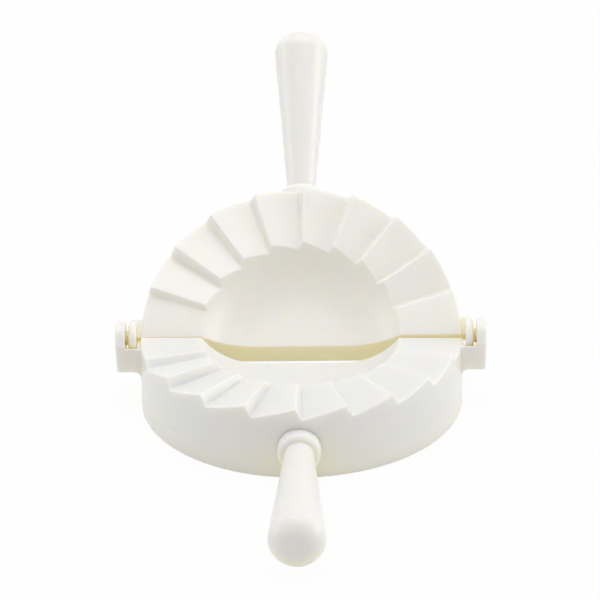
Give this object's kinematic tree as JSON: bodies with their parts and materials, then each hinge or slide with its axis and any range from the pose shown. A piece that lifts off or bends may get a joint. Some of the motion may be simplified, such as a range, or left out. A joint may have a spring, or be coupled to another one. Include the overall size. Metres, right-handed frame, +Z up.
{
  "type": "empanada press",
  "caption": "Hinged hand press with half-bowl jaws, interlocking pleated rims and a round-ended handle on each jaw, for sealing filled dough.",
  "frame": {"origin": "on the table, under the middle of the object's box, on the mirror line between the ears", "axes": "+Z up, +Y from the front handle towards the rear handle, +X along the hinge to the right seen from the front handle"},
  "size_m": [0.1048, 0.1842, 0.0799],
  "materials": {
    "jaw_plastic": "satin ivory moulding",
    "handle_plastic": "satin ivory moulding"
  },
  "bodies": {
    "front": {"front_jaw": "jaw_plastic", "front_handle": "handle_plastic"},
    "rear": {"rear_jaw": "jaw_plastic", "rear_handle": "handle_plastic"}
  },
  "joints": [
    {"name": "jaw_hinge", "type": "hinge", "parent": "front", "child": "rear", "pos_m": [0, 0.00704, 0.0198], "axis": [1, 0, 0], "range_deg": [-40.5, 139.5]}
  ]
}
